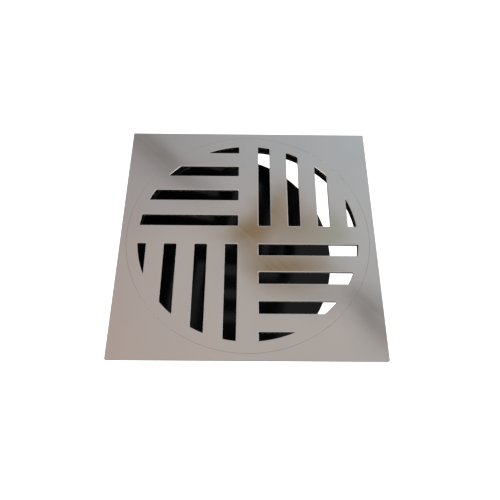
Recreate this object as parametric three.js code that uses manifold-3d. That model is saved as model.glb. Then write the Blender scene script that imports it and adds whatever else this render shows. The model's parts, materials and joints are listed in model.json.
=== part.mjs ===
// Square floor drain grate: a steel frame, a round grid that lifts out of it,
// and a round odour flap that hangs below on a sprung hinge.
// Millimetres, +Z up. The origin is the middle of the top face, level with the finished floor.
import * as THREE from 'three'
import { mergeVertices } from 'three/addons/utils/BufferGeometryUtils.js'
import Module from 'manifold-3d'

const wasm = await Module()
wasm.setup()

// ---- driving dimensions ----
const SIDE = 150 // square frame, outside
const SHEET = 2 // plate of the frame and of the grid
const GAP = 0.3 // gap between two pieces that touch
const GRID_R = 71.25 // round grid that lifts out

// slots of the grid: four quarters, each the last one turned by 90 degrees
const SLOT_W = 7.2
const SLOT_PITCH = 17.8
const SLOT_FIRST = 9.8 // middle of the first slot, from the grid's axis
const SLOT_INNER = 6.1 // closed end of each slot, from the other axis
const SLOT_R = 64.8 // circle that ends every slot
const SLOT_CORNER = 1
const SLOTS_PER_QUARTER = 4

// seat ring, a black moulding bonded under the frame: a ledge for the grid and a collar below it
const SEAT_R = 74.2
const LEDGE_Z = -3.4
const LEDGE_T = 1.4
const COLLAR_R = 65.5
const COLLAR_T = 2
const COLLAR_Z = -5.2
const COLLAR_SEAL_Z = -7.8 // lower lip of the rubber ring under the collar

// tabs under the grid that drop into pockets of the collar, so the grid cannot turn
const TAB_W = 8
const TAB_T = 1.1
const TAB_Z = -5.2
const POCKET = 0.9 // depth of each pocket in the collar's wall

// hinge of the odour flap, near the back left corner
const HINGE_AZIMUTH = THREE.MathUtils.degToRad(140)
const FLAP_R = 67.2
const FLAP_T = 3
const PIN_OUT = FLAP_R + 4.2 // pin axis, from the drain's axis
const PIN_Z = COLLAR_SEAL_Z - GAP // the pin is level with the top of the shut flap
const PIN_R = 1.25
const FLAP_OPEN = THREE.MathUtils.degToRad(25) // how far the flap hangs open at rest
const LUG_T = 1.2
const LUG_DROP = 15.7

const LEAF_T = 1.5
const EAR_T = 1.2
const STOP_X = 8.6 // face of the tongue that stops the open flap, beyond the pin axis
const EAR_FROM = 9 // inner face of each bracket ear, from the middle of the pin
const KNUCKLE_FROM = 3.9
const KNUCKLE_TO = 7.8

const BIG_ROUND = 80 // sides of a large circle
const SMALL_ROUND = 24 // sides of a pin or a hole

// ---- materials ----
const plateSteel = new THREE.MeshStandardMaterial({ color: 0xa39c97, roughness: 0.25, metalness: 1 })
const pressedSteel = new THREE.MeshStandardMaterial({ color: 0x8e8c8a, roughness: 0.4, metalness: 1 })
const pinSteel = new THREE.MeshStandardMaterial({ color: 0xb4b4b2, roughness: 0.3, metalness: 1 })
const springSteel = new THREE.MeshStandardMaterial({ color: 0x77757a, roughness: 0.35, metalness: 1 })
const flapPlastic = new THREE.MeshStandardMaterial({ color: 0x16171a, roughness: 0.2, metalness: 0 })
const collarPlastic = new THREE.MeshStandardMaterial({ color: 0x18181a, roughness: 0.5, metalness: 0 })
const sealRubber = new THREE.MeshStandardMaterial({ color: 0x101010, roughness: 0.75, metalness: 0 })
const nylon = new THREE.MeshStandardMaterial({ color: 0xe4e0d4, roughness: 0.5, metalness: 0 })

// ---- shape helpers ----
function arcPoints(x, y, r, from, to, steps) {
  const points = []
  for (let i = 0; i <= steps; i++) {
    const a = from + ((to - from) * i) / steps
    points.push(new THREE.Vector2(x + r * Math.cos(a), y + r * Math.sin(a)))
  }
  return points
}

function circlePoints(x, y, r, sides) {
  return arcPoints(x, y, r, 0, 2 * Math.PI, sides).slice(0, sides)
}

// A flat plate with holes, from height z to z + thickness.
function plate(outline, holes, z, thickness) {
  const shape = new THREE.Shape(outline)
  for (const hole of holes) shape.holes.push(new THREE.Path(hole))
  const geometry = new THREE.ExtrudeGeometry(shape, { depth: thickness, bevelEnabled: false })
  geometry.translate(0, 0, z)
  return geometry
}

// A section drawn in x and z, as thick as y runs from one value to the other.
function slab(section, holes, fromY, toY) {
  const geometry = plate(section, holes, 0, toY - fromY)
  geometry.rotateX(Math.PI / 2)
  geometry.translate(0, toY, 0)
  return geometry
}

// A closed ring or a round bar about Z, from its section as [radius, height] pairs.
function turned(section, sides) {
  const points = section.map(([r, z]) => new THREE.Vector2(r, z))
  const geometry = new THREE.LatheGeometry(points, sides)
  geometry.rotateX(Math.PI / 2)
  return geometry
}

function ring(section, sides = BIG_ROUND) {
  return turned([...section, section[0]], sides)
}

function rod(x, y, r, fromZ, toZ) {
  return plate(circlePoints(x, y, r, SMALL_ROUND), [], fromZ, toZ - fromZ)
}

function toSolid(geometry) {
  const bare = geometry.clone()
  bare.deleteAttribute('normal')
  bare.deleteAttribute('uv')
  const merged = mergeVertices(bare, 1e-4)
  return new wasm.Manifold(new wasm.Mesh({
    numProp: 3,
    vertProperties: merged.attributes.position.array,
    triVerts: Uint32Array.from(merged.index.array),
  }))
}

function toGeometry(solid) {
  const mesh = solid.getMesh()
  const geometry = new THREE.BufferGeometry()
  geometry.setAttribute('position', new THREE.BufferAttribute(mesh.vertProperties, 3))
  geometry.setIndex(new THREE.BufferAttribute(mesh.triVerts, 1))
  geometry.computeVertexNormals()
  return geometry
}

function build(first, added, cut) {
  let solid = toSolid(first)
  for (const geometry of added) solid = solid.add(toSolid(geometry))
  for (const geometry of cut) solid = solid.subtract(toSolid(geometry))
  return toGeometry(solid)
}

function piece(parent, name, geometry, material) {
  const mesh = new THREE.Mesh(geometry, material)
  mesh.name = name
  parent.add(mesh)
  return mesh
}

// ---- frame ----
function framePlate() {
  const h = SIDE / 2
  const corners = [[-h, -h], [h, -h], [h, h], [-h, h]]
  const outline = corners.map(([x, y]) => new THREE.Vector2(x, y))
  return plate(outline, [circlePoints(0, 0, GRID_R + GAP, BIG_ROUND)], -SHEET, SHEET)
}

function seatRing() {
  const hole = GRID_R + GAP
  const ledgeBottom = LEDGE_Z - LEDGE_T
  const body = ring([
    [COLLAR_R, COLLAR_Z], [COLLAR_R + COLLAR_T, COLLAR_Z], [COLLAR_R + COLLAR_T, ledgeBottom],
    [SEAT_R, ledgeBottom], [SEAT_R, -SHEET - GAP], [hole, -SHEET - GAP],
    [hole, LEDGE_Z], [COLLAR_R, LEDGE_Z],
  ])
  const pockets = []
  const cutter = new THREE.Vector3(6, TAB_W + 0.8, 4)
  for (let i = 0; i < 4; i++) {
    const pocket = new THREE.BoxGeometry(...cutter)
    pocket.translate(COLLAR_R + POCKET - cutter.x / 2, 0, (LEDGE_Z + COLLAR_Z) / 2)
    pocket.rotateZ((i * Math.PI) / 2)
    pockets.push(pocket)
  }
  return build(body, [], pockets)
}

function gridGasket() {
  const top = -SHEET - GAP
  const bottom = LEDGE_Z + GAP
  const inner = COLLAR_R + 1.5
  const outer = GRID_R - 0.05
  return ring([[inner, bottom], [outer, bottom], [outer, top], [inner, top]])
}

// A rubber ring bonded under the collar, with the lip that the shut flap presses on.
function collarSeal() {
  const top = COLLAR_Z - GAP
  const inner = COLLAR_R - 0.1
  const outer = COLLAR_R + COLLAR_T
  return ring([
    [inner, top], [inner, COLLAR_SEAL_Z + 0.2], [inner + 0.5, COLLAR_SEAL_Z],
    [inner + 1.1, COLLAR_SEAL_Z + 0.2], [outer, top - 0.8], [outer, top],
  ])
}

// A bent strap under one corner, which keys the frame into the mortar. Drawn along +X.
function anchorLug() {
  const top = -SHEET - GAP
  const t = LUG_T
  const foot = top - LUG_DROP
  const strap = [
    [97, top], [86, top], [86, foot + 3.5], [88.5, foot], [92, foot],
    [92, foot + t], [89, foot + t], [86 + t, foot + 3.2], [86 + t, top - t], [97, top - t],
  ].map(([x, z]) => new THREE.Vector2(x, z))
  const keyHole = rod(0, 0, 2, -2, 2)
  keyHole.rotateY(Math.PI / 2)
  keyHole.translate(86, 0, -9)
  return build(slab(strap, [], -4, 4), [], [keyHole])
}

// ---- grid ----
// One slot along +Y: two straight sides, a straight inner end and an arc of the slot circle.
function slotOutline(fromX, toX) {
  const c = SLOT_CORNER
  const left = fromX + c
  const base = SLOT_INNER + c
  const reach = SLOT_R - c
  const right = Math.min(toX - c, Math.sqrt(reach ** 2 - base ** 2))
  const rightAngle = Math.acos(right / reach)
  const leftAngle = Math.acos(left / reach)
  const rightTop = Math.sqrt(reach ** 2 - right ** 2)
  const leftTop = Math.sqrt(reach ** 2 - left ** 2)
  const turn = Math.PI / 2
  const cut = toX - c > right
  const baseEnd = 4 * turn + (cut ? rightAngle : 0)
  const points = arcPoints(left, base, c, 2 * turn, 3 * turn, 4)
  points.push(...arcPoints(right, base, c, 3 * turn, baseEnd, 5))
  if (!cut) points.push(...arcPoints(right, rightTop, c, 0, rightAngle, 4))
  points.push(...arcPoints(0, 0, SLOT_R, rightAngle, leftAngle, 6).slice(1, -1))
  points.push(...arcPoints(left, leftTop, c, leftAngle, 2 * turn, 4))
  return points
}

function gridDisc() {
  const slots = []
  for (let quarter = 0; quarter < 4; quarter++) {
    for (let i = 0; i < SLOTS_PER_QUARTER; i++) {
      const fromX = SLOT_FIRST + i * SLOT_PITCH - SLOT_W / 2
      const outline = slotOutline(fromX, fromX + SLOT_W)
      const centre = new THREE.Vector2()
      slots.push(outline.map((p) => p.rotateAround(centre, (quarter * Math.PI) / 2)))
    }
  }
  return plate(circlePoints(0, 0, GRID_R, BIG_ROUND), slots, -SHEET, SHEET)
}

// A bent tab welded under one arm of the grid. Drawn along +X.
function gridTab() {
  const top = -SHEET - GAP
  const out = COLLAR_R + 0.6
  const section = [
    [56, top], [out, top], [out, TAB_Z], [out - TAB_T, TAB_Z],
    [out - TAB_T, top - TAB_T], [56, top - TAB_T],
  ].map(([x, z]) => new THREE.Vector2(x, z))
  return slab(section, [], -TAB_W / 2, TAB_W / 2)
}

// ---- hinge: the pin lies along Y through the local origin, +X points away from the drain ----
function hingeBracket() {
  const top = -SHEET - GAP - PIN_Z
  const side = EAR_FROM + EAR_T
  const base = [[3.3, -side], [10.1, -side], [10.1, side], [3.3, side]]
    .map(([x, y]) => new THREE.Vector2(x, y))
  const ear = [
    new THREE.Vector2(3.3, top), new THREE.Vector2(9.5, top), new THREE.Vector2(8.5, top - 3),
    ...arcPoints(0, 0, 2.9, -Math.PI / 3, -1.5 * Math.PI, 16), new THREE.Vector2(3.3, 2.9),
  ]
  const hole = circlePoints(0, 0, 2.1, SMALL_ROUND)
  const tongue = [[STOP_X, top], [STOP_X + EAR_T, top], [STOP_X + EAR_T, -5.5], [STOP_X, -5.5]]
    .map(([x, z]) => new THREE.Vector2(x, z))
  return build(plate(base, [], top - EAR_T, EAR_T), [
    slab(ear, [hole], EAR_FROM, side),
    slab(ear, [hole], -side, -EAR_FROM),
    slab(tongue, [], -3, 3),
  ], [])
}

// A bar or bush on the pin's axis: its section is turned about Z, then laid along Y.
function alongPin(geometry) {
  return geometry.rotateX(-Math.PI / 2)
}

function hingePin() {
  return alongPin(turned([
    [0, -11.6], [1.9, -11.6], [2.2, -11.3], [2.2, -10.7], [PIN_R, -10.7], [PIN_R, 10.6],
    [0.9, 10.6], [0.9, 11.4], [PIN_R, 11.4], [PIN_R, 11.9], [0.95, 12.2], [0, 12.2],
  ], SMALL_ROUND))
}

function hingeBush() {
  return alongPin(ring([
    [PIN_R + 0.1, 8.1], [2.9, 8.1], [2.9, 8.7], [2, 8.7], [2, 10.3], [PIN_R + 0.1, 10.3],
  ], SMALL_ROUND))
}

function pinClip() {
  const open = THREE.MathUtils.degToRad(32)
  const round = 2 * Math.PI - open
  const outline = [...arcPoints(0, 0, 2.6, open, round, 20), ...arcPoints(0, 0, 1, round, open, 16)]
  return slab(outline, [], 10.7, 11.3)
}

// ---- flap, drawn shut: its own origin is on the pin, and the drain's axis is at x = -PIN_OUT ----
const LEAF_TOP = -7.3
const BOSS_R = 3.5
const SCREW_PLACES = { inner: [-29, 0], back: [-16, -5], front: [-16, 5] }

function flapDisc() {
  const under = -FLAP_T
  const root = under + 0.5
  const ribZ = -5.5
  const rimRib = FLAP_R - 8
  const body = turned([
    [0, under], [FLAP_R - 0.6, under], [FLAP_R, under + 0.6], [FLAP_R, -0.5], [FLAP_R - 0.5, 0],
    [0, 0],
  ], BIG_ROUND)
  const added = [
    ring([[9.5, ribZ], [12, ribZ], [12, root], [9.5, root]], 48),
    ring([[rimRib, ribZ], [rimRib + 1.6, ribZ], [rimRib + 1.6, root], [rimRib, root]]),
  ]
  const ribFrom = 11
  for (let i = 0; i < 8; i++) {
    const rib = new THREE.BoxGeometry(rimRib + 0.8 - ribFrom, 1.6, root - ribZ)
    rib.translate((rimRib + 0.8 + ribFrom) / 2, 0, (root + ribZ) / 2)
    rib.rotateZ((i * Math.PI) / 4)
    added.push(rib)
  }
  const cut = []
  for (const [x, y] of Object.values(SCREW_PLACES)) {
    const bossZ = LEAF_TOP + GAP
    added.push(rod(x + PIN_OUT, y, BOSS_R, bossZ, root))
    cut.push(rod(x + PIN_OUT, y, 1.45, bossZ - 1, -1.1))
  }
  return build(body, added, cut)
}

function hingeLeaf() {
  const round = THREE.MathUtils.degToRad
  const foot = [
    new THREE.Vector2(1.3, -KNUCKLE_TO), new THREE.Vector2(1.3, KNUCKLE_TO),
    new THREE.Vector2(-19, KNUCKLE_TO), ...arcPoints(-29, 0, 5, round(80), round(280), 12),
    new THREE.Vector2(-19, -KNUCKLE_TO),
  ]
  const holes = Object.values(SCREW_PLACES).map(([x, y]) => circlePoints(x, y, 1.5, 16))
  const knuckle = [
    new THREE.Vector2(1.3, LEAF_TOP - 0.5), ...arcPoints(0, 0, 2.6, round(-60), round(266), 24),
    new THREE.Vector2(-0.2, LEAF_TOP - 0.5),
  ]
  const bore = circlePoints(0, 0, PIN_R + 0.1, SMALL_ROUND)
  return build(plate(foot, holes, LEAF_TOP - LEAF_T, LEAF_T), [
    slab(knuckle, [bore], KNUCKLE_FROM, KNUCKLE_TO),
    slab(knuckle, [bore], -KNUCKLE_TO, -KNUCKLE_FROM),
  ], [])
}

function leafScrew() {
  const seat = LEAF_TOP - LEAF_T - GAP
  return turned([
    [0, seat - 1.6], [1.5, seat - 1.6], [2.3, seat - 1.2], [2.6, seat - 0.6], [2.6, seat],
    [1.2, seat], [1.2, -3.2], [0.4, -2.4], [0, -2.4],
  ], 16)
}

// A torsion spring on the pin. One leg presses up on the bracket, the other down on the leaf.
function closingSpring() {
  const coilR = 1.95
  const halfCoil = 3.1
  const startAngle = THREE.MathUtils.degToRad(95)
  const endAngle = THREE.MathUtils.degToRad(175) + FLAP_OPEN + 12 * Math.PI
  const steps = 76
  const bracketLeg = [[6.4, 4.1], [5.2, 3.7], [3.6, 2.6], [1.8, 2.2]]
  const points = bracketLeg.map(([x, z]) => new THREE.Vector3(x, -halfCoil, z))
  for (let i = 0; i <= steps; i++) {
    const a = startAngle + ((endAngle - startAngle) * i) / steps
    const y = -halfCoil + (2 * halfCoil * i) / steps
    points.push(new THREE.Vector3(coilR * Math.cos(a), y, coilR * Math.sin(a)))
  }
  const leafLeg = [[-2.4, -5.2], [-3.2, -6.5], [-5, -6.85], [-9, -6.9]]
  for (const [x, z] of leafLeg) {
    const turnedX = x * Math.cos(FLAP_OPEN) - z * Math.sin(FLAP_OPEN)
    const turnedZ = x * Math.sin(FLAP_OPEN) + z * Math.cos(FLAP_OPEN)
    points.push(new THREE.Vector3(turnedX, halfCoil, turnedZ))
  }
  const path = new THREE.CatmullRomCurve3(points)
  const wire = new THREE.Shape(circlePoints(0, 0, 0.35, 8))
  return new THREE.ExtrudeGeometry(wire, { steps: 112, extrudePath: path, bevelEnabled: false })
}

// ---- assembly ----
const drain = new THREE.Group()
piece(drain, 'frame_plate', framePlate(), plateSteel)
piece(drain, 'seat_ring', seatRing(), collarPlastic)
piece(drain, 'grid_gasket', gridGasket(), sealRubber)
piece(drain, 'collar_seal', collarSeal(), sealRubber)
const corners = ['back_right', 'back_left', 'front_left', 'front_right']
corners.forEach((corner, i) => {
  const lug = piece(drain, `anchor_lug_${corner}`, anchorLug(), pressedSteel)
  lug.rotation.z = Math.PI / 4 + (i * Math.PI) / 2
})

const grid = new THREE.Group()
drain.add(grid)
piece(grid, 'grid_disc', gridDisc(), plateSteel)
const arms = ['right', 'back', 'left', 'front']
arms.forEach((arm, i) => {
  piece(grid, `grid_tab_${arm}`, gridTab(), pressedSteel).rotation.z = (i * Math.PI) / 2
})

const hinge = new THREE.Group()
hinge.position.set(PIN_OUT * Math.cos(HINGE_AZIMUTH), PIN_OUT * Math.sin(HINGE_AZIMUTH), PIN_Z)
hinge.rotation.z = HINGE_AZIMUTH
drain.add(hinge)
piece(hinge, 'hinge_bracket', hingeBracket(), pressedSteel)
piece(hinge, 'hinge_pin', hingePin(), pinSteel)
piece(hinge, 'pin_clip', pinClip(), springSteel)
piece(hinge, 'hinge_bush_front', hingeBush(), nylon)
piece(hinge, 'hinge_bush_back', hingeBush(), nylon).rotation.z = Math.PI
piece(hinge, 'closing_spring', closingSpring(), springSteel)

const flap = new THREE.Group()
flap.rotation.y = -FLAP_OPEN
hinge.add(flap)
const flapCentre = new THREE.Group()
flapCentre.position.x = -PIN_OUT
flap.add(flapCentre)
piece(flapCentre, 'flap_disc', flapDisc(), flapPlastic)
piece(flap, 'hinge_leaf', hingeLeaf(), pressedSteel)
for (const [place, [x, y]] of Object.entries(SCREW_PLACES)) {
  piece(flap, `leaf_screw_${place}`, leafScrew(), pinSteel).position.set(x, y, 0)
}

export default drain
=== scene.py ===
# %% [markdown]
# # A floor drain grate, finished in Blender
#
# A floor drain grate is the steel cover that sits flush with the tiles of a shower or a wash room.
# This one is a square frame, a round grid that lifts out for cleaning, and an odour flap that hangs
# below on a sprung hinge. The sizes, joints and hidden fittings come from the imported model. This
# lesson remakes the visible surfaces: rounded rims, satin steel, glossy plastic, rubber and wire.

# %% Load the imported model
import json
import math
import bpy
from mathutils import Matrix, Quaternion, Vector


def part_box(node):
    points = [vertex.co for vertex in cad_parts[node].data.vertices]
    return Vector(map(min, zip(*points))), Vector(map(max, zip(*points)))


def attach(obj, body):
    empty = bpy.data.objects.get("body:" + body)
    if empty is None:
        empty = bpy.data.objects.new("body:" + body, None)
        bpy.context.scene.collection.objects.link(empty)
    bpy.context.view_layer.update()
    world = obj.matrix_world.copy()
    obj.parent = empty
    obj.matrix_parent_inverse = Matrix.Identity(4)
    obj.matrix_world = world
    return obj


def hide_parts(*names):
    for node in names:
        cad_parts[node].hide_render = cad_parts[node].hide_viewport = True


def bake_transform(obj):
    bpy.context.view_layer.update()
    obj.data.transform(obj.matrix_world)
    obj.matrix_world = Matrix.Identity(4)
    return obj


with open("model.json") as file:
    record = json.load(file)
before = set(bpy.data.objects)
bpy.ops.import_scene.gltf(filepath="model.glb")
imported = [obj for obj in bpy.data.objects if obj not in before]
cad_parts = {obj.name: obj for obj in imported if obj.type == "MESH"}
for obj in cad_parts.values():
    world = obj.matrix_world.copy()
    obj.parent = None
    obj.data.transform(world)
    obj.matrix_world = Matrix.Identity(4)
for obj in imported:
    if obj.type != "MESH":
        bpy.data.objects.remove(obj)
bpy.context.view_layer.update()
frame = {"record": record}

# %% [markdown]
# ## Sizes
#
# Every length below is written in millimetres and turned to metres by MM, because Blender and the
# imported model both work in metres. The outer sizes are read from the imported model, so the pieces
# made here fit the ones that they replace. A box doesn't tell the slots' sizes or a ring's section,
# so those are written out again. The small radii of edges and corners are new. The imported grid
# stands in its hole with a wide gap, so the finished grid and hole both grow into it until only a
# hairline is left between them.

# %% Driving sizes
MM = 0.001
TURN = 2 * math.pi
plate_low, plate_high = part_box("frame_plate")
disc_low, disc_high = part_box("grid_disc")
PLATE_SIDE = plate_high.x - plate_low.x
SHEET = plate_high.z - plate_low.z
SEAM = 0.06 * MM
GRID_GROWTH = 0.12 * MM
GRID_R = disc_high.x + GRID_GROWTH
HOLE_R = GRID_R + SEAM
SLOT_W = 7.2 * MM
SLOT_PITCH = 17.8 * MM
SLOT_FIRST = 9.8 * MM
SLOT_INNER = 6.1 * MM
SLOT_R = 64.8 * MM
SLOT_CORNER = 1.0 * MM
RIM_ROUND = 0.5 * MM
FINE_ROUND = 0.2 * MM
SEAM_ROUND = 0.06 * MM
PLATE_CORNER = 0.5 * MM
LARGE_ROUND = 192
print("plate side", round(PLATE_SIDE / MM, 2), "mm, grid radius", round(GRID_R / MM, 2), "mm")

# %% [markdown]
# ## Helpers for modelling
#
# Each helper wraps a few operators that a person would press by hand. Operators act on whatever is
# selected, and the loaded model comes in selected, so every step starts by deselecting. Places are
# applied into the mesh at the end, which leaves each object at the origin, unturned and unscaled.

# %% Helpers for modelling
def only(obj):
    bpy.ops.object.select_all(action="DESELECT")
    obj.select_set(True)
    bpy.context.view_layer.objects.active = obj


def fresh(name):
    obj = bpy.context.active_object
    obj.name = name
    obj.data.name = name
    return obj


def settle(obj, place=None):
    """Puts an object's place, turn and scale into its mesh."""
    only(obj)
    if place is not None:
        obj.matrix_world = place @ obj.matrix_world
    bpy.ops.object.transform_apply(location=True, rotation=True, scale=True)
    return obj


def select_in_edit(obj, mode, test):
    """Opens edit mode with just the vertices, edges or faces that pass the test selected."""
    only(obj)
    bpy.ops.object.mode_set(mode="EDIT")
    bpy.ops.mesh.select_mode(type=mode)
    bpy.ops.mesh.select_all(action="DESELECT")
    bpy.ops.object.mode_set(mode="OBJECT")
    parts = {"VERT": obj.data.vertices, "EDGE": obj.data.edges, "FACE": obj.data.polygons}[mode]
    for part in parts:
        part.select = test(part)
    bpy.ops.object.mode_set(mode="EDIT")


def leave_edit():
    bpy.ops.object.mode_set(mode="OBJECT")


def modifier(obj, kind, **values):
    """Adds one modifier with its settings and applies it."""
    only(obj)
    added = obj.modifiers.new(kind.lower(), kind)
    for key, value in values.items():
        setattr(added, key, value)
    bpy.ops.object.modifier_apply(modifier=added.name)


def boolean(obj, tool, operation, **values):
    modifier(obj, "BOOLEAN", object=tool, operation=operation, solver="EXACT", **values)
    bpy.data.objects.remove(tool, do_unlink=True)


def join(objects, name):
    bpy.ops.object.select_all(action="DESELECT")
    for obj in objects:
        obj.select_set(True)
    bpy.context.view_layer.objects.active = objects[0]
    bpy.ops.object.join()
    return fresh(name)


def copy_of(obj, name):
    twin = obj.copy()
    twin.data = obj.data.copy()
    twin.name = name
    bpy.context.scene.collection.objects.link(twin)
    return twin


def clean(obj, merge=0.001 * MM):
    """Joins doubled corners and turns flat groups of triangles back into single faces."""
    select_in_edit(obj, "VERT", lambda v: True)
    bpy.ops.mesh.remove_doubles(threshold=merge)
    bpy.ops.mesh.dissolve_limited(angle_limit=math.radians(0.5))
    leave_edit()


def round_rims(obj, width, test, segments=3):
    """Rounds the level edges of a sheet that pass the test, which gets an edge's middle point."""
    points = obj.data.vertices

    def is_rim(edge):
        one, two = (points[i].co for i in edge.vertices)
        return abs(one.z - two.z) < 0.01 * MM and test((one + two) / 2)

    select_in_edit(obj, "EDGE", is_rim)
    bpy.ops.mesh.bevel(offset=width, segments=segments)
    leave_edit()


def smooth(obj):
    """Shades the rounds smoothly and keeps the flat faces optically flat."""
    only(obj)
    bpy.ops.object.shade_smooth_by_angle(angle=math.radians(50))
    modifier(obj, "WEIGHTED_NORMAL", keep_sharp=True)


def round_edges(obj, width, segments=3, angle=40):
    """Rounds every edge that is sharper than the angle."""
    modifier(obj, "BEVEL", width=width, segments=segments, limit_method="ANGLE",
             angle_limit=math.radians(angle), miter_outer="MITER_ARC")
    smooth(obj)


def block(name, low, high):
    """A box between two corners, as a start for a piece."""
    low, high = Vector(low), Vector(high)
    bpy.ops.object.select_all(action="DESELECT")
    bpy.ops.mesh.primitive_cube_add(size=1, location=(low + high) / 2, scale=high - low)
    return settle(fresh(name))


def round_bar(name, radius, low_z, high_z, x=0.0, y=0.0, sides=48):
    bpy.ops.object.select_all(action="DESELECT")
    bpy.ops.mesh.primitive_cylinder_add(
        vertices=sides, radius=radius, depth=high_z - low_z, location=(x, y, (low_z + high_z) / 2))
    return settle(fresh(name))


def turned(name, section, corner=0.0, steps=LARGE_ROUND, axis=(0, 0, 1), segments=3):
    """Spins a closed section of (radius, height) pairs in millimetres about Z or Y."""
    bpy.ops.object.select_all(action="DESELECT")
    bpy.ops.mesh.primitive_circle_add(vertices=len(section), fill_type="NOTHING")
    obj = fresh(name)
    for vertex, (r, h) in zip(obj.data.vertices, section):
        vertex.co = Vector((r, 0, h)) * MM if axis[2] else Vector((r, h, 0)) * MM
    select_in_edit(obj, "VERT", lambda v: v.co.x > 0.01 * MM)
    if corner:
        bpy.ops.mesh.bevel(offset=corner * MM, segments=segments, affect="VERTICES")
    bpy.ops.mesh.select_all(action="SELECT")
    bpy.ops.mesh.spin(steps=steps, angle=TURN, center=(0, 0, 0), axis=axis)
    bpy.ops.mesh.select_all(action="SELECT")
    bpy.ops.mesh.remove_doubles(threshold=0.002 * MM)
    bpy.ops.mesh.normals_make_consistent(inside=False)
    leave_edit()
    only(obj)
    bpy.ops.object.shade_smooth_by_angle(angle=math.radians(40))
    return obj


def finish_piece(obj, body, slot, material, *nodes):
    """Gives a piece its material and body, hides its nodes and prints how far its box lies from them.
    """
    obj.data.materials.clear()
    obj.data.materials.append(material)
    if body:
        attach(obj, body)
    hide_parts(*nodes)
    points = [vertex.co for vertex in obj.data.vertices]
    off = 0.0
    for axis in range(3):
        values = [p[axis] for p in points]
        low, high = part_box(nodes[0])
        off = max(off, abs(min(values) - low[axis]), abs(max(values) - high[axis]))
    print(f"{obj.name}: {len(obj.data.polygons)} faces, box within {off / MM:.2f} mm of {nodes[0]}")


# %% [markdown]
# ## Shared surface effects
#
# Real metal is never one flat colour. Three effects come back in several materials here: a fine
# directional grain left by the polishing belt, soft smudges from hands and wiping, and a little
# dust. Each one is a node group that is built once and used with other values in each material.
# The groups give out values only, and the shader itself stays in the material.

# %% Helpers for node trees
def new_group(name, inputs, outputs):
    """A node group. Inputs are (name, kind, default) and outputs are (name, kind)."""
    tree = bpy.data.node_groups.new(name, "ShaderNodeTree")
    for label, kind, default in inputs:
        socket = tree.interface.new_socket(label, in_out="INPUT", socket_type=kind)
        socket.default_value = default
    for label, kind in outputs:
        tree.interface.new_socket(label, in_out="OUTPUT", socket_type=kind)
    return tree, tree.nodes.new("NodeGroupInput"), tree.nodes.new("NodeGroupOutput")


def node(tree, kind, links=(), **values):
    """Adds a node, sets its properties, and links or sets its inputs by position or name."""
    made = tree.nodes.new("ShaderNode" + kind)
    for key, value in values.items():
        setattr(made, key, value)
    for socket, source in dict(links).items():
        if hasattr(source, "is_output"):
            tree.links.new(source, made.inputs[socket])
        else:
            made.inputs[socket].default_value = source
    return made


def noise(tree, vector, scale, detail=3.0, roughness=0.5):
    return node(tree, "TexNoise", {"Vector": vector, "Scale": scale, "Detail": detail,
                                   "Roughness": roughness}).outputs["Fac"]


def remap(tree, value, low, high, to_low=0.0, to_high=1.0):
    return node(tree, "MapRange", {"Value": value, "From Min": low, "From Max": high,
                                   "To Min": to_low, "To Max": to_high},
                interpolation_type="SMOOTHSTEP").outputs["Result"]


def maths(tree, operation, a, b):
    return node(tree, "Math", {0: a, 1: b}, operation=operation).outputs[0]


def stretched(tree, vector, scale, turn=0.0):
    return node(tree, "Mapping", {"Vector": vector, "Scale": scale, "Rotation": (0, 0, turn)}
                ).outputs["Vector"]


# %% Fine grain of a polishing belt
def grain_group():
    tree, given, out = new_group(
        "belt_grain",
        [("Vector", "NodeSocketVector", (0, 0, 0)), ("Fineness", "NodeSocketFloat", 1.0)],
        [("Height", "NodeSocketFloat"), ("Streak", "NodeSocketFloat")])
    size = node(tree, "VectorMath", {0: given.outputs["Vector"]}, operation="SCALE")
    tree.links.new(given.outputs["Fineness"], size.inputs["Scale"])
    lines = noise(tree, stretched(tree, size.outputs[0], (60, 4000, 4000)), 1.0, 4.0, 0.6)
    broad = noise(tree, stretched(tree, size.outputs[0], (8, 380, 380)), 1.0, 3.0, 0.55)
    height = maths(tree, "ADD", maths(tree, "MULTIPLY", lines, 0.7),
                   maths(tree, "MULTIPLY", broad, 0.3))
    tree.links.new(height, out.inputs["Height"])
    tree.links.new(remap(tree, broad, 0.35, 0.7), out.inputs["Streak"])
    return tree


belt_grain = grain_group()
print("made node group", belt_grain.name)


# %% Smudges from hands and wiping
def smudge_group():
    tree, given, out = new_group(
        "smudges",
        [("Vector", "NodeSocketVector", (0, 0, 0)), ("Size", "NodeSocketFloat", 0.02)],
        [("Mask", "NodeSocketFloat"), ("Spots", "NodeSocketFloat")])
    scale = maths(tree, "DIVIDE", 1.0, given.outputs["Size"])
    warp = node(tree, "TexNoise", {"Vector": given.outputs["Vector"], "Detail": 2.0})
    tree.links.new(scale, warp.inputs["Scale"])
    cloud = remap(tree, warp.outputs["Fac"], 0.42, 0.66)
    dots = node(tree, "TexVoronoi", {"Vector": given.outputs["Vector"]}, feature="F1")
    tree.links.new(maths(tree, "MULTIPLY", scale, 7.0), dots.inputs["Scale"])
    spots = remap(tree, dots.outputs["Distance"], 0.16, 0.05)
    rare = remap(tree, noise(tree, given.outputs["Vector"], 140.0), 0.56, 0.68)
    tree.links.new(cloud, out.inputs["Mask"])
    tree.links.new(maths(tree, "MULTIPLY", spots, rare), out.inputs["Spots"])
    return tree


smudges = smudge_group()
print("made node group", smudges.name)


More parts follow.
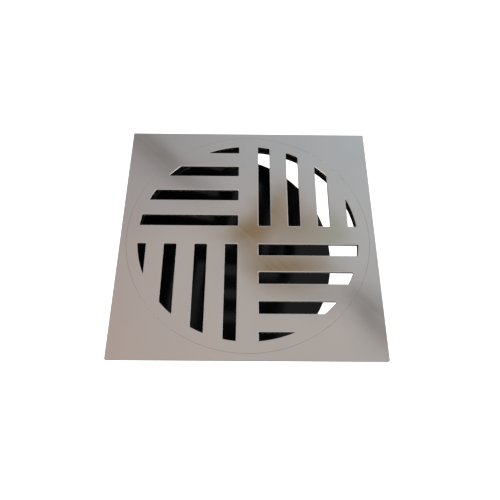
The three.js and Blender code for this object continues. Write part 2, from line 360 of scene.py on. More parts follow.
# %% Dust that gathers on faces which look up
def dust_group():
    tree, given, out = new_group(
        "settled_dust",
        [("Vector", "NodeSocketVector", (0, 0, 0)), ("Amount", "NodeSocketFloat", 0.3)],
        [("Mask", "NodeSocketFloat")])
    normal = node(tree, "NewGeometry").outputs["Normal"]
    up = node(tree, "SeparateXYZ", {0: normal}).outputs["Z"]
    facing = remap(tree, up, 0.2, 1.0)
    grains = remap(tree, noise(tree, given.outputs["Vector"], 900.0, 5.0, 0.7), 0.45, 0.75)
    patches = remap(tree, noise(tree, given.outputs["Vector"], 60.0), 0.35, 0.7)
    mask = maths(tree, "MULTIPLY", maths(tree, "MULTIPLY", grains, patches), facing)
    tree.links.new(maths(tree, "MULTIPLY", mask, given.outputs["Amount"]), out.inputs["Mask"])
    return tree


settled_dust = dust_group()
print("made node group", settled_dust.name)


# %% Helpers for materials
def new_material(name, **shader):
    """A material with a Principled BSDF whose constant values are set on its own sockets."""
    material = bpy.data.materials.new(name)
    material.use_nodes = True
    tree = material.node_tree
    bsdf = tree.nodes["Principled BSDF"]
    for label, value in shader.items():
        bsdf.inputs[label.replace("_", " ")].default_value = value
    place = node(tree, "TexCoord").outputs["Object"]
    return material, tree, bsdf, place


def use_group(tree, group, **values):
    made = tree.nodes.new("ShaderNodeGroup")
    made.node_tree = group
    for label, value in values.items():
        if hasattr(value, "is_output"):
            tree.links.new(value, made.inputs[label])
        else:
            made.inputs[label].default_value = value
    return made


def mix_colour(tree, factor, a, b):
    made = node(tree, "Mix", {"Factor": factor}, data_type="RGBA")
    for index, value in ((6, a), (7, b)):
        if hasattr(value, "is_output"):
            tree.links.new(value, made.inputs[index])
        else:
            made.inputs[index].default_value = (*value, 1.0)
    return made.outputs[2]


def bump(tree, bsdf, height, strength, distance):
    made = node(tree, "Bump", {"Height": height, "Strength": strength, "Distance": distance})
    tree.links.new(made.outputs["Normal"], bsdf.inputs["Normal"])


# %% [markdown]
# ## Satin steel of the frame and the grid
#
# The two top pieces are stainless sheet, polished to a soft mirror. A room shows in them as blurred
# patches of light, so the metal is fully metallic with a low roughness. The grain is so fine that it
# only softens the picture. Wiping marks change the roughness a little from place to place, and the
# tint drifts between a warm and a cool grey as rolled sheet does. Faces that look down are rougher,
# as unpolished sheet is, and their colour is darkened to a dark grey as painted shade. The upright
# faces, the slot walls and the edges, are painted near black as shade. That painted shade isn't
# metal, so the metallic value falls there, and a low index of refraction keeps it matt. On the frame
# the painted edge shade is weaker, which leaves its edges a dark grey.

# %% Masks for the painted shade on the upright faces and the underside
def edge_and_underside_shade_group():
    tree, given, out = new_group(
        "painted_edge_and_underside_shade", [("Vector", "NodeSocketVector", (0, 0, 0))],
        [("Mask", "NodeSocketFloat"), ("Shaded underside", "NodeSocketFloat")])
    # Painted shade: one mask for the upright faces and one for the faces that look down.
    up = node(tree, "SeparateXYZ", {0: node(tree, "NewGeometry").outputs["Normal"]}).outputs["Z"]
    upright = remap(tree, node(tree, "Math", {0: up}, operation="ABSOLUTE").outputs[0], 0.45, 0.1)
    ripple = noise(tree, stretched(tree, given.outputs["Vector"], (5000, 5000, 300)), 1.0, 2.0)
    patchy = remap(tree, ripple, 0.1, 0.5, 0.95, 1.0)
    tree.links.new(maths(tree, "MULTIPLY", upright, patchy), out.inputs["Mask"])
    tree.links.new(remap(tree, up, -0.5, -0.9), out.inputs["Shaded underside"])
    return tree


edge_and_underside_shade = edge_and_underside_shade_group()
print("made node group", edge_and_underside_shade.name)


# %% Satin steel
STEEL_TINT = (0.62, 0.6, 0.58)
# Painted shade colours: near black for the upright faces, dark grey for the underside.
PAINTED_EDGE_SHADE_TINT = (0.004, 0.0038, 0.0036)
PAINTED_UNDERSIDE_SHADE_TINT = (0.1, 0.098, 0.096)
STEEL_ROUGHNESS = 0.085
GRAIN_TURN = math.radians(45)


def satin_steel(name, edge_shade_strength):
    material, tree, bsdf, place = new_material(name, IOR=1.08)
    turned_place = stretched(tree, place, (1, 1, 1), GRAIN_TURN)
    grain = use_group(tree, belt_grain, Vector=turned_place, Fineness=1.0)
    smudge = use_group(tree, smudges, Vector=place, Size=0.028)
    cool = tuple(c * k for c, k in zip(STEEL_TINT, (0.965, 0.985, 1.0)))
    drift = remap(tree, noise(tree, place, 14.0, 2.0), 0.35, 0.65)
    tint = mix_colour(tree, drift, STEEL_TINT, cool)
    tint = mix_colour(tree, maths(tree, "MULTIPLY", smudge.outputs["Mask"], 0.25), tint,
                      tuple(c * 0.95 for c in STEEL_TINT))
    # Painted shade: upright faces go near black and matt, and the underside goes dark grey and rougher.
    faces = use_group(tree, edge_and_underside_shade, Vector=place)
    edge_shade = maths(tree, "MULTIPLY", faces.outputs["Mask"], edge_shade_strength)
    dull_and_shaded_underside = faces.outputs["Shaded underside"]
    tint = mix_colour(tree, edge_shade, tint, PAINTED_EDGE_SHADE_TINT)
    tree.links.new(mix_colour(tree, dull_and_shaded_underside, tint, PAINTED_UNDERSIDE_SHADE_TINT), bsdf.inputs["Base Color"])
    tree.links.new(maths(tree, "SUBTRACT", 1.0, edge_shade), bsdf.inputs["Metallic"])
    wiped = maths(tree, "MULTIPLY", smudge.outputs["Mask"], 0.03)
    lined = maths(tree, "MULTIPLY", grain.outputs["Streak"], 0.02)
    spots = maths(tree, "MULTIPLY", smudge.outputs["Spots"], 0.05)
    shaded_faces_roughness = maths(tree, "MULTIPLY", maths(tree, "ADD", edge_shade, dull_and_shaded_underside), 0.4)
    roughness = maths(tree, "ADD", maths(tree, "ADD", wiped, lined),
                      maths(tree, "ADD", spots, STEEL_ROUGHNESS))
    tree.links.new(maths(tree, "ADD", roughness, shaded_faces_roughness), bsdf.inputs["Roughness"])
    bump(tree, bsdf, grain.outputs["Height"], 0.04, 0.01 * MM)
    return material


# The frame gets less painted edge shade, which leaves its edges a dark grey.
frame_steel = satin_steel("frame_satin_steel", edge_shade_strength=0.8)
grid_steel = satin_steel("grid_satin_steel", edge_shade_strength=1.0)
print("made", frame_steel.name, "and", grid_steel.name)

# %% [markdown]
# ## Pressed steel of the hidden parts
#
# The lugs, tabs and hinge parts are stamped from the same steel but are not polished.
# Mill finish is duller and greyer, with a fine pebble from the rolls and brown heat marks where a
# weld was made. The marks come from a broad noise, and the pebble is a small bump.

# %% Pressed steel
def pressed_steel_material():
    material, tree, bsdf, place = new_material("mill_steel", Metallic=1.0)
    grain = use_group(tree, belt_grain, Vector=stretched(tree, place, (1, 1, 1), 0.6), Fineness=0.5)
    smudge = use_group(tree, smudges, Vector=place, Size=0.012)
    heat = remap(tree, noise(tree, place, 55.0, 2.0), 0.58, 0.74)
    tint = mix_colour(tree, maths(tree, "MULTIPLY", heat, 0.35), (0.52, 0.505, 0.49),
                      (0.36, 0.28, 0.2))
    dust = use_group(tree, settled_dust, Vector=place, Amount=0.5)
    tint = mix_colour(tree, dust.outputs["Mask"], tint, (0.3, 0.29, 0.27))
    tree.links.new(tint, bsdf.inputs["Base Color"])
    rough = maths(tree, "ADD", 0.3, maths(tree, "MULTIPLY", smudge.outputs["Mask"], 0.12))
    tree.links.new(maths(tree, "ADD", rough, maths(tree, "MULTIPLY", dust.outputs["Mask"], 0.4)),
                   bsdf.inputs["Roughness"])
    pebble = maths(tree, "ADD", noise(tree, place, 2600.0, 2.0), grain.outputs["Height"])
    bump(tree, bsdf, pebble, 0.12, 0.02 * MM)
    return material


pressed_steel = pressed_steel_material()
print("made", pressed_steel.name)


# %% Turned steel of the pin and screws, and drawn spring wire
def turned_steel_material(name, tint, rough, fineness):
    material, tree, bsdf, place = new_material(name, Metallic=1.0)
    lathe = noise(tree, place, fineness, 2.0)
    smudge = use_group(tree, smudges, Vector=place, Size=0.006)
    darker = tuple(c * 0.8 for c in tint)
    wiped = maths(tree, "MULTIPLY", smudge.outputs["Mask"], 0.6)
    tree.links.new(mix_colour(tree, wiped, tint, darker), bsdf.inputs["Base Color"])
    tree.links.new(maths(tree, "ADD", rough, maths(tree, "MULTIPLY", lathe, 0.15)),
                   bsdf.inputs["Roughness"])
    bump(tree, bsdf, lathe, 0.1, 0.01 * MM)
    return material


pin_steel = turned_steel_material("bright_turned_steel", (0.68, 0.67, 0.65), 0.16, 1500.0)
spring_steel = turned_steel_material("drawn_spring_wire", (0.42, 0.41, 0.42), 0.22, 3000.0)
print("made", pin_steel.name, "and", spring_steel.name)

# %% [markdown]
# ## Glossy plastic, rubber and nylon
#
# The flap is moulded in black plastic with a shiny top. It is almost a black mirror at a low angle,
# so most of its look is its gloss, with faint moulding waves and a little dust. The rubber rings are
# matt with a fine pore, and the bushes are milky nylon that lets a little light in. The blacks use a
# lower index of refraction than the solid material has, which keeps them deep in a bright room.

# %% Flap plastic
def flap_plastic_material():
    material, tree, bsdf, place = new_material(
        "flap_black_plastic", Metallic=0.0, IOR=1.23)
    smudge = use_group(tree, smudges, Vector=place, Size=0.016)
    dust = use_group(tree, settled_dust, Vector=place, Amount=0.04)
    tint = mix_colour(tree, smudge.outputs["Mask"], (0.0012, 0.0012, 0.0015), (0.002, 0.002, 0.0023))
    tint = mix_colour(tree, dust.outputs["Mask"], tint, (0.06, 0.057, 0.052))
    tree.links.new(tint, bsdf.inputs["Base Color"])
    rough = maths(tree, "ADD", 0.12, maths(tree, "MULTIPLY", smudge.outputs["Mask"], 0.05))
    tree.links.new(maths(tree, "ADD", rough, maths(tree, "MULTIPLY", dust.outputs["Mask"], 0.4)),
                   bsdf.inputs["Roughness"])
    flow = noise(tree, place, 45.0, 2.0)
    bump(tree, bsdf, flow, 0.08, 0.1 * MM)
    return material


# %% Rubber and nylon
def rubber_material():
    material, tree, bsdf, place = new_material("black_seal_rubber", Metallic=0.0, IOR=1.25)
    pores = noise(tree, place, 2200.0, 4.0, 0.7)
    bloom = remap(tree, noise(tree, place, 160.0), 0.45, 0.75)
    tree.links.new(mix_colour(tree, maths(tree, "MULTIPLY", bloom, 0.5), (0.005, 0.005, 0.0052),
                              (0.014, 0.0137, 0.0134)), bsdf.inputs["Base Color"])
    tree.links.new(remap(tree, pores, 0.3, 0.7, 0.5, 0.78), bsdf.inputs["Roughness"])
    bump(tree, bsdf, pores, 0.25, 0.03 * MM)
    return material


def nylon_material():
    material, tree, bsdf, place = new_material(
        "natural_nylon", Metallic=0.0, IOR=1.53, Subsurface_Weight=0.15, Subsurface_Scale=0.4 * MM)
    flow = noise(tree, place, 420.0, 3.0)
    tree.links.new(mix_colour(tree, flow, (0.74, 0.71, 0.63), (0.8, 0.78, 0.72)),
                   bsdf.inputs["Base Color"])
    tree.links.new(remap(tree, flow, 0.3, 0.7, 0.36, 0.5), bsdf.inputs["Roughness"])
    bump(tree, bsdf, flow, 0.1, 0.03 * MM)
    return material


flap_plastic = flap_plastic_material()
seal_rubber = rubber_material()
bush_nylon = nylon_material()
print("made", flap_plastic.name, seal_rubber.name, bush_nylon.name)

# %% [markdown]
# ## The round grid
#
# The grid is a laser-cut disc. Its slots stand in four quarters, and each quarter is the last one
# turned by a right angle, which makes the basket-weave look. One could draw the outline as a curve,
# but cutting the slots out of a disc, as the laser does, keeps every slot a simple block. The edges
# are then rounded a little, because the real disc is tumbled to take off the burr, and that small
# round is what draws a bright line around each slot.

# %% One slot, as a block to cut with
SHARP = math.radians(25)


def slot_cutter(index):
    from_x = SLOT_FIRST + index * SLOT_PITCH - SLOT_W / 2
    cutter = block(f"slot_{index}", (from_x, SLOT_INNER, -2 * SHEET),
                   (from_x + SLOT_W, SLOT_R + SHEET, SHEET))
    boolean(cutter, round_bar("slot_end", SLOT_R, -3 * SHEET, 2 * SHEET, sides=LARGE_ROUND),
            "INTERSECT")
    select_in_edit(cutter, "VERT", lambda v: True)
    bpy.ops.mesh.remove_doubles(threshold=0.01 * MM)
    bpy.ops.mesh.select_mode(type="EDGE")
    bpy.ops.mesh.select_all(action="DESELECT")
    bpy.ops.mesh.edges_select_sharp(sharpness=SHARP)
    leave_edit()
    points = cutter.data.vertices
    for edge in cutter.data.edges:
        low, high = (points[i].co for i in edge.vertices)
        upright = abs(low.z - high.z) > SHEET
        edge.select = edge.select and upright
    bpy.ops.object.mode_set(mode="EDIT")
    bpy.ops.mesh.bevel(offset=SLOT_CORNER, segments=4, clamp_overlap=True)
    leave_edit()
    return cutter


# %% All the slots
def slot_cutters():
    cutters = []
    for index in range(4):
        first = slot_cutter(index)
        cutters.append(first)
        for quarter in range(1, 4):
            twin = copy_of(first, f"slot_{index}_{quarter}")
            cutters.append(settle(twin, Matrix.Rotation(quarter * TURN / 4, 4, "Z")))
    return join(cutters, "all_slots")


# %% The disc with its slots
grid_face = round_bar("grid_face", GRID_R, disc_low.z, disc_high.z, sides=LARGE_ROUND)
boolean(grid_face, slot_cutters(), "DIFFERENCE")
clean(grid_face)
round_rims(grid_face, RIM_ROUND, lambda middle: middle.to_2d().length < GRID_R - 2 * MM,
           segments=4)
round_rims(grid_face, SEAM_ROUND, lambda middle: middle.to_2d().length > GRID_R - MM, segments=2)
smooth(grid_face)
finish_piece(grid_face, "grid", "grate_steel", grid_steel, "grid_disc")

# %% [markdown]
# ## The square frame
#
# The frame is one square of the same sheet with a round hole. Its corners are barely eased, so the
# square looks crisp against the tiles. Only the lips of the hole and the outer rim are rounded.

# %% Square frame
half = PLATE_SIDE / 2
frame_face = block("frame_face", (-half, -half, plate_low.z), (half, half, plate_high.z))


def is_upright(edge):
    one, two = (frame_face.data.vertices[i].co for i in edge.vertices)
    return abs(one.z - two.z) > SHEET / 2


select_in_edit(frame_face, "EDGE", is_upright)
bpy.ops.mesh.bevel(offset=PLATE_CORNER, segments=4)
leave_edit()
boolean(frame_face, round_bar("round_hole", HOLE_R, -2 * SHEET, SHEET, sides=LARGE_ROUND),
        "DIFFERENCE")
clean(frame_face)
round_rims(frame_face, FINE_ROUND, lambda middle: middle.to_2d().length > half - MM)
round_rims(frame_face, SEAM_ROUND, lambda middle: middle.to_2d().length < HOLE_R + MM, segments=2)
smooth(frame_face)
finish_piece(frame_face, "frame", "grate_steel", frame_steel, "frame_plate")

# %% [markdown]
# ## Seat ring, gasket and rubber collar
#
# Under the frame sits a black moulded ring with a ledge that carries the grid and a collar that the
# flap closes. All three rings are round about the drain's axis, so each is drawn as a section and
# spun. Rounding the corners of the section before the spin is the cheapest way to round every
# circular edge at once.

# %% Collar plastic
def collar_plastic_material():
    material, tree, bsdf, place = new_material("collar_black_plastic", Metallic=0.0, IOR=1.1)
    grain = remap(tree, noise(tree, place, 1500.0, 3.0), 0.3, 0.7)
    dust = use_group(tree, settled_dust, Vector=place, Amount=0.25)
    tree.links.new(mix_colour(tree, dust.outputs["Mask"], (0.003, 0.003, 0.0032), (0.05, 0.047, 0.042)),
                   bsdf.inputs["Base Color"])
    tree.links.new(maths(tree, "ADD", 0.5, maths(tree, "MULTIPLY", grain, 0.15)),
                   bsdf.inputs["Roughness"])
    bump(tree, bsdf, grain, 0.2, 0.03 * MM)
    return material


collar_plastic = collar_plastic_material()
print("made", collar_plastic.name)

# %% Seat ring with its four pockets
LEDGE_Z, LEDGE_T, COLLAR_R, COLLAR_T, COLLAR_Z = -3.4, 1.4, 65.5, 2.0, -5.2
SEAT_R, SEAT_TOP = 74.2, -2.3
seat_ring = turned("moulded_seat_ring", [
    (COLLAR_R, COLLAR_Z), (COLLAR_R + COLLAR_T, COLLAR_Z), (COLLAR_R + COLLAR_T, LEDGE_Z - LEDGE_T),
    (SEAT_R, LEDGE_Z - LEDGE_T), (SEAT_R, SEAT_TOP), (HOLE_R / MM, SEAT_TOP),
    (HOLE_R / MM, LEDGE_Z), (COLLAR_R, LEDGE_Z)], corner=0.12)


POCKET_LOW, POCKET_HIGH = Vector((60.4, -4.4, -6.3)), Vector((66.4, 4.4, -2.4))


def tab_pockets():
    first = block("pocket_0", POCKET_LOW * MM, POCKET_HIGH * MM)
    pockets = [first]
    for arm in range(1, 4):
        twin = copy_of(first, f"pocket_{arm}")
        pockets.append(settle(twin, Matrix.Rotation(arm * TURN / 4, 4, "Z")))
    return join(pockets, "pockets")


boolean(seat_ring, tab_pockets(), "DIFFERENCE")
modifier(seat_ring, "WEIGHTED_NORMAL", keep_sharp=True)
finish_piece(seat_ring, "frame", "collar_plastic", collar_plastic, "seat_ring")

# %% Gasket under the grid and the rubber ring under the collar
gasket_low, gasket_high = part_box("grid_gasket")
GASKET_INNER, GROOVE_DEPTH = 67.0, 0.25
GASKET_OUTER, GASKET_FOOT, GASKET_TOP = (c / MM for c in (gasket_high.x, gasket_low.z, gasket_high.z))
gasket = turned("foam_gasket", [
    (GASKET_INNER, GASKET_FOOT), (GASKET_OUTER, GASKET_FOOT), (GASKET_OUTER, GASKET_TOP),
    (70.0, GASKET_TOP), (69.6, GASKET_TOP - GROOVE_DEPTH), (68.6, GASKET_TOP - GROOVE_DEPTH),
    (68.2, GASKET_TOP), (GASKET_INNER, GASKET_TOP)], corner=0.1, segments=2)
finish_piece(gasket, "frame", "seal_rubber", seal_rubber, "grid_gasket")
lip = turned("collar_rubber", [
    (65.4, -5.5), (65.4, -6.4), (65.55, -6.7), (65.4, -7.0), (65.4, -7.6), (65.9, -7.8),
    (66.5, -7.6), (67.2, -6.7), (67.5, -6.3), (67.5, -5.5)], corner=0.12)
finish_piece(lip, "frame", "seal_rubber", seal_rubber, "collar_seal")

# %% [markdown]
# ## The odour flap
#
# The flap is one moulding: a disc with a glossy top, ribs underneath that keep it flat, and three
# bosses for the screws of the hinge leaf. It is built shut and level about the drain's axis, where
# every number is simple, and is then carried to its place on the hinge and swung open to rest.

# %% Where the hinge is
hinge_joint = next(j for j in frame["record"]["behaviour"]["joints"] if j["name"] == "flap_hinge")
pin_middle = Vector(hinge_joint["pos_m"])
FLAP_OPEN = -math.radians(hinge_joint["range_deg"][0])
hinge_turn = math.atan2(pin_middle.y, pin_middle.x)
PIN_OUT = math.hypot(pin_middle.x, pin_middle.y) / MM
hinge_place = Matrix.Translation(pin_middle) @ Matrix.Rotation(hinge_turn, 4, "Z")
flap_place = hinge_place @ Matrix.Rotation(-FLAP_OPEN, 4, "Y")
disc_place = flap_place @ Matrix.Translation(Vector((-PIN_OUT * MM, 0, 0)))
print("hinge at", round(math.degrees(hinge_turn), 1), "degrees,", round(PIN_OUT, 1), "mm out")

# %% Flap disc, ribs and bosses
FLAP_R, FLAP_T, RIB_Z, RIB_T, LEAF_TOP = 67.2, 3.0, -5.5, 1.6, -7.3
HUB_R, HUB_T, RIM_INSET, RIBS = 9.5, 2.5, 8.0, 8
SCREWS = {"inner": (-29.0, 0.0), "back": (-16.0, -5.0), "front": (-16.0, 5.0)}


def flap_ribs():
    rim_rib = FLAP_R - RIM_INSET
    root = -FLAP_T + 0.5
    half_rib = RIB_T / 2
    first = block("rib_0", Vector((11, -half_rib, RIB_Z)) * MM,
                  Vector((rim_rib + half_rib, half_rib, root)) * MM)
    parts = [first]
    for i in range(1, RIBS):
        parts.append(settle(copy_of(first, f"rib_{i}"), Matrix.Rotation(i * TURN / RIBS, 4, "Z")))
    for inner, wide in ((HUB_R, HUB_T), (rim_rib, RIB_T)):
        parts.append(turned("ring_rib", [(inner, RIB_Z), (inner + wide, RIB_Z),
                                         (inner + wide, root), (inner, root)], steps=96))
    for x, y in SCREWS.values():
        parts.append(round_bar("boss", 3.5 * MM, (LEAF_TOP + 0.3) * MM, root * MM,
                               (x + PIN_OUT) * MM, y * MM, sides=40))
    return join(parts, "ribs")


def flap_disc():
    disc = turned("moulded_flap", [
        (0, -FLAP_T), (FLAP_R - 0.6, -FLAP_T), (FLAP_R, -FLAP_T + 0.6), (FLAP_R, -0.5),
        (FLAP_R - 0.5, 0), (0, 0)], corner=0.25)
    boolean(disc, flap_ribs(), "UNION", use_self=True)
    for x, y in SCREWS.values():
        boolean(disc, round_bar("screw_hole", 1.45 * MM, -9 * MM, -1.1 * MM,
                                (x + PIN_OUT) * MM, y * MM, sides=24), "DIFFERENCE")
    clean(disc)
    round_edges(disc, 0.2 * MM, segments=2, angle=50)
    return settle(disc, disc_place)


finish_piece(flap_disc(), "flap", "flap_plastic", flap_plastic, "flap_disc")

# %% [markdown]
# ## Stamped parts
#
# The lugs, tabs, bracket and hinge leaf are bent from strip. Their shape is already right in the
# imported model, which is made of loose triangles. A copy is merged, its flat areas become single
# faces again, and its edges are rounded as a press leaves them. The pin's clip, cut from spring
# steel, is made in the same way a little further down.

# %% Rounded copies of the stamped parts
def rounded_copy(name, node_name, width, angle):
    obj = copy_of(bpy.data.objects[node_name], name)
    obj.parent = None
    obj.matrix_world = Matrix.Identity(4)
    clean(obj)
    round_edges(obj, width * MM, segments=2, angle=angle)
    return obj


def stamped(name, node_name, body):
    obj = rounded_copy(name, node_name, 0.16, 40)
    finish_piece(obj, body, "pressed_steel", pressed_steel, node_name)


for corner in ("back_right", "back_left", "front_left", "front_right"):
    stamped(f"strap_lug_{corner}", f"anchor_lug_{corner}", "frame")
for arm in ("right", "back", "left", "front"):
    stamped(f"drop_tab_{arm}", f"grid_tab_{arm}", "grid")
stamped("stamped_bracket", "hinge_bracket", "frame")
stamped("stamped_leaf", "hinge_leaf", "flap")

# %% [markdown]
# ## Pin, bushes, clip and screws
#
# All but the clip are turned on a lathe, so a spun section is the natural way. The screws get a
# cross recess, cut with two crossed blocks that taper like a driver's tip.

# %% Pin, bushes and clip
SMALL_ROUND = 64
PIN_R, HEAD_R, GROOVE_R = 1.25, 2.2, 0.9
PIN = [
    (0, -11.6), (HEAD_R - 0.3, -11.6), (HEAD_R, -11.3), (HEAD_R, -10.7), (PIN_R, -10.7),
    (PIN_R, 10.6), (GROOVE_R, 10.6), (GROOVE_R, 11.4), (PIN_R, 11.4), (PIN_R, 11.9),
    (PIN_R - 0.3, 12.2), (0, 12.2)]
hinge_pin = turned("turned_pin", PIN, corner=0.06, steps=SMALL_ROUND, axis=(0, 1, 0), segments=2)
finish_piece(settle(hinge_pin, hinge_place), "frame", "pin_steel", pin_steel, "hinge_pin")

BUSH = [(1.35, 8.1), (2.9, 8.1), (2.9, 8.7), (2.0, 8.7), (2.0, 10.3), (1.35, 10.3)]
for side, way in (("front", 1), ("back", -1)):
    bush = turned(f"nylon_bush_{side}", [(r, h * way) for r, h in BUSH], corner=0.1,
                  steps=SMALL_ROUND, axis=(0, 1, 0), segments=2)
    finish_piece(settle(bush, hinge_place), "frame", "bush_nylon", bush_nylon, f"hinge_bush_{side}")

clip = rounded_copy("spring_clip", "pin_clip", 0.08, 50)
finish_piece(clip, "frame", "spring_steel", spring_steel, "pin_clip")


# %% Leaf screws with a cross recess
def leaf_screw(name):
    seat = LEAF_TOP - 1.5 - 0.3
    screw = turned(name, [
        (0, seat - 1.6), (1.5, seat - 1.6), (2.3, seat - 1.2), (2.6, seat - 0.6), (2.6, seat),
        (1.2, seat), (1.2, -3.2), (0.4, -2.4), (0, -2.4)], corner=0.08, steps=48, segments=2)
    blades = []
    for turn in (0, 1):
        blade = block(f"blade_{turn}", Vector((-1.3, -0.3, seat - 2.2)) * MM,
                      Vector((1.3, 0.3, seat - 0.55)) * MM)
        select_in_edit(blade, "FACE", lambda f: f.normal.z > 0.9)
        bpy.ops.transform.resize(value=(0.4, 0.7, 1))
        leave_edit()
        blades.append(settle(blade, Matrix.Rotation(turn * TURN / 4, 4, "Z")))
    boolean(screw, join(blades, "cross"), "DIFFERENCE", use_self=True)
    only(screw)
    bpy.ops.object.shade_smooth_by_angle(angle=math.radians(40))
    return screw


for place_name, (x, y) in SCREWS.items():
    screw = leaf_screw(f"cross_screw_{place_name}")
    settle(screw, flap_place @ Matrix.Translation(Vector((x, y, 0)) * MM))
    finish_piece(screw, "flap", "pin_steel", pin_steel, f"leaf_screw_{place_name}")

# %% [markdown]
# ## The closing spring
#
# A torsion spring sits on the pin between the knuckles. It is drawn as one curve with a round
# section: a leg that bears on the bracket, six turns and a bit, and a leg that bears on the leaf.
# The bracket's end is drawn where the frame holds it and the leaf's end where the open flap holds
# it, with the coil wound on by the same angle. The piece is attached to no body.

# %% Closing spring
WIRE_R, COIL_R, HALF_COIL = 0.35, 1.95, 3.1
COIL_START = math.radians(95)
COIL_END = math.radians(175) + FLAP_OPEN + 6 * TURN
COIL_STEPS = 150


def spring_points():
    points = [Vector((x, -HALF_COIL, z))
              for x, z in ((6.4, 4.1), (5.2, 3.7), (3.6, 2.6), (1.8, 2.2))]
    for i in range(COIL_STEPS + 1):
        part = i / COIL_STEPS
        angle = COIL_START + (COIL_END - COIL_START) * part
        points.append(Vector((COIL_R * math.cos(angle), HALF_COIL * (2 * part - 1),
                              COIL_R * math.sin(angle))))
    swing = Matrix.Rotation(-FLAP_OPEN, 3, "Y")
    for x, z in ((-2.4, -5.2), (-3.2, -6.5), (-5.0, -6.85), (-9.0, -6.9)):
        points.append(swing @ Vector((x, 0, z)) + Vector((0, HALF_COIL, 0)))
    return [hinge_place @ (p * MM) for p in points]


def closing_spring():
    curve = bpy.data.curves.new("wire_spring", "CURVE")
    curve.dimensions = "3D"
    curve.bevel_depth = WIRE_R * MM
    curve.bevel_resolution = 3
    curve.use_fill_caps = True
    points = spring_points()
    line = curve.splines.new("NURBS")
    line.points.add(len(points) - 1)
    for knot, point in zip(line.points, points):
        knot.co = (*point, 1)
    line.order_u = 3
    line.use_endpoint_u = True
    line.resolution_u = 2
    obj = bpy.data.objects.new("wire_spring", curve)
    bpy.context.scene.collection.objects.link(obj)
    only(obj)
    bpy.ops.object.convert(target="MESH")
    wire = fresh("wire_spring")
    bpy.ops.object.shade_smooth_by_angle(angle=math.radians(50))
    return wire


wire_spring = closing_spring()
finish_piece(wire_spring, None, "spring_steel", spring_steel, "closing_spring")
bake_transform(wire_spring)

# %% [markdown]
# ## Studio
#
# Satin steel shows its room, so the room matters more than the lamps. The floor and what is seen
# behind the object are a plain pale white. The sky that lights it is a soft grey that runs from warm
# on one side to cool on the other, with a few dim, soft patches, as furniture and beams would give,
# and one bright one for a window. It gets lighter lower down, and darker again where walls would be.
# Each patch is placed by where the plate would show it to the camera, so the list reads in
# millimetres on the plate, or beyond it for the window.

# %% Camera
LENS = 37.04
CAMERA_DISTANCE = 303.5 * MM
CAMERA_ELEVATION = math.radians(61.3)
CAMERA_TURN = math.radians(-0.43)
CAMERA_ROLL = math.radians(1.32)
AIM = Vector((1.2, -10.2, 0)) * MM
eye = CAMERA_DISTANCE * Vector((
    math.sin(CAMERA_TURN) * math.cos(CAMERA_ELEVATION),
    -math.cos(CAMERA_TURN) * math.cos(CAMERA_ELEVATION),
    math.sin(CAMERA_ELEVATION)))
camera_data = bpy.data.cameras.new("camera")
camera_data.lens = LENS
camera = bpy.data.objects.new("camera", camera_data)
bpy.context.scene.collection.objects.link(camera)
camera.location = eye
camera.rotation_mode = "QUATERNION"
camera.rotation_quaternion = (AIM - eye).to_track_quat("-Z", "Y") @ Quaternion((0, 0, 1), CAMERA_ROLL)
bpy.context.scene.camera = camera
bpy.context.scene.view_settings.view_transform = "Standard"
print("camera at", tuple(round(c, 4) for c in eye))

# %% Floor
FLOOR_Z = -0.42
bpy.ops.object.select_all(action="DESELECT")
bpy.ops.mesh.primitive_plane_add(size=12, location=(0, 0, FLOOR_Z))
floor = settle(fresh("studio_floor"))
floor_material = new_material(
    "pale_floor", Base_Color=(0.9, 0.9, 0.9, 1), Roughness=0.9, Emission_Color=(1, 1, 1, 1),
    Emission_Strength=0.75)[0]
floor.data.materials.append(floor_material)
print("floor at", FLOOR_Z, "m")

# %% Sky with soft patches
BACK_LEFT, BACK_RIGHT = (0.5, 0.485, 0.5), (0.64, 0.69, 0.73)
FRONT_LEFT, FRONT_RIGHT = (0.675, 0.56, 0.515), (0.655, 0.635, 0.63)
BROWN, OLIVE, SHADE = (0.3, 0.19, 0.07), (0.44, 0.46, 0.33), (0.28, 0.26, 0.25)
WARM, WINDOW = (0.69, 0.635, 0.595), (1.05, 1.05, 1.1)
LOW_SKY, WALLS, WHITE = (0.88, 0.87, 0.86), (0.46, 0.45, 0.445), (1.0, 1.0, 1.0)
PATCHES = [
    # x, y, half length, half width, turn in degrees, colour, strength
    (-20, -20, 45, 34, 0, WARM, 0.55),
    (8, -58, 62, 26, 0, WARM, 0.5),
    (1, 1, 12, 10, 20, BROWN, 1.0),
    (11, 14, 8, 15, -15, BROWN, 0.7),
    (21, 24, 9, 12, 0, BROWN, 0.6),
    (20, -32, 16, 8, 0, BROWN, 0.35),
    (14, -20, 16, 9, -5, BROWN, 1.0),
    (32, -20, 13, 8, 0, BROWN, 0.95),
    (42, -24, 12, 7, 0, BROWN, 0.3),
    (48, 1, 11, 9, 0, OLIVE, 1.0),
    (27, 5, 13, 10, 0, BROWN, 0.6),
    (40, 12, 12, 8, 0, BROWN, 0.3),
    (-14, 2, 12, 7, 0, BROWN, 0.25),
    (-60, 60, 34, 8, -45, SHADE, 0.95),
    (-32, 36, 20, 6, -28, SHADE, 0.5),
    (-20, 52, 16, 6, -10, SHADE, 0.2),
    (38, -38, 16, 6, -15, SHADE, 0.35),
    (66, -43, 17, 7, -42, SHADE, 0.75),
    (72, -54, 20, 8, -56, SHADE, 0.85),
    (215, -150, 110, 90, 0, WINDOW, 1.0),
]


def seen_at(x, y):
    """Where the sky shows at a place on the plate, as slopes from straight up."""
    return (x * MM - eye.x) / eye.z, (y * MM - eye.y) / eye.z


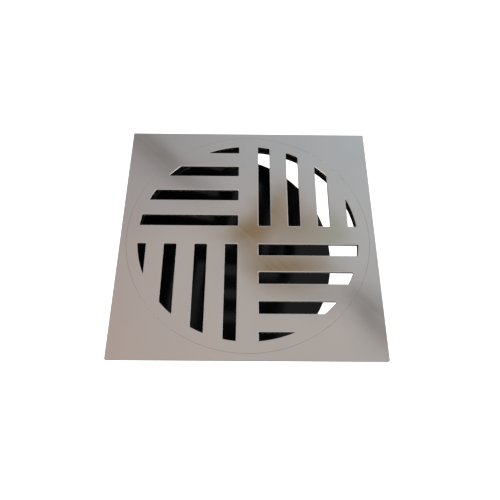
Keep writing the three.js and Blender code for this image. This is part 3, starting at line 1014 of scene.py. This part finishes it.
def sky_slopes(tree):
    """Two slopes that say which way a ray goes up, as x over z and y over z."""
    way = node(tree, "SeparateXYZ", {0: node(tree, "TexCoord").outputs["Generated"]})
    rise = maths(tree, "MAXIMUM", way.outputs["Z"], 0.05)
    flat = node(tree, "CombineXYZ", {0: maths(tree, "DIVIDE", way.outputs["X"], rise),
                                     1: maths(tree, "DIVIDE", way.outputs["Y"], rise)})
    return way.outputs["Z"], flat.outputs[0]


def sky_patch(tree, slopes, x, y, long, wide, turn):
    u, v = seen_at(x, y)
    local = node(tree, "Mapping", {
        "Vector": slopes, "Location": (u, v, 0), "Rotation": (0, 0, math.radians(turn)),
        "Scale": (long * MM / eye.z, wide * MM / eye.z, 1)}, vector_type="TEXTURE")
    reach = node(tree, "VectorMath", {0: local.outputs[0]}, operation="LENGTH").outputs["Value"]
    return remap(tree, reach, 1.5, 0.45)


def studio_sky():
    world = bpy.data.worlds.new("studio_sky")
    bpy.context.scene.world = world
    world.use_nodes = True
    tree = world.node_tree
    rise, slopes = sky_slopes(tree)
    split = node(tree, "SeparateXYZ", {0: slopes})
    side = node(tree, "MapRange", {"Value": split.outputs["X"], "From Min": seen_at(-75, 0)[0],
                                   "From Max": seen_at(75, 0)[0]}).outputs["Result"]
    depth = node(tree, "MapRange", {"Value": split.outputs["Y"], "From Min": seen_at(0, -75)[1],
                                    "From Max": seen_at(0, 75)[1]}).outputs["Result"]
    colour = mix_colour(tree, depth, mix_colour(tree, side, FRONT_LEFT, FRONT_RIGHT),
                        mix_colour(tree, side, BACK_LEFT, BACK_RIGHT))
    for x, y, long, wide, turn, tint, strength in PATCHES:
        mask = maths(tree, "MULTIPLY", sky_patch(tree, slopes, x, y, long, wide, turn), strength)
        colour = mix_colour(tree, mask, colour, tint)
    low_sky = mix_colour(tree, remap(tree, rise, 0.62, 0.4), colour, LOW_SKY)
    walls = mix_colour(tree, remap(tree, rise, 0.34, 0.16), low_sky, WALLS)
    below = mix_colour(tree, remap(tree, rise, 0.02, -0.03), walls, WHITE)
    shown = node(tree, "LightPath").outputs["Is Camera Ray"]
    final = mix_colour(tree, shown, below, WHITE)
    background = tree.nodes["Background"]
    tree.links.new(final, background.inputs["Color"])
    background.inputs["Strength"].default_value = 1.0
    print("sky has", len(PATCHES), "soft patches")


studio_sky()


# %% Soft boxes
def soft_box(name, azimuth, elevation, distance, size, power):
    data = bpy.data.lights.new(name, "AREA")
    data.shape = "DISK"
    data.size = size
    data.energy = power
    lamp = bpy.data.objects.new(name, data)
    a, e = math.radians(azimuth), math.radians(elevation)
    way = Vector((math.sin(a) * math.cos(e), -math.cos(a) * math.cos(e), math.sin(e)))
    lamp.location = way * distance
    lamp.rotation_mode = "QUATERNION"
    lamp.rotation_quaternion = (-way).to_track_quat("-Z", "Y")
    bpy.context.scene.collection.objects.link(lamp)
    print(name, "gives", power, "W from", azimuth, "degrees round and", elevation, "up")


soft_box("key_box", -70, 32, 1.4, 0.9, 4)
soft_box("fill_box", 60, 22, 1.6, 1.2, 2.5)
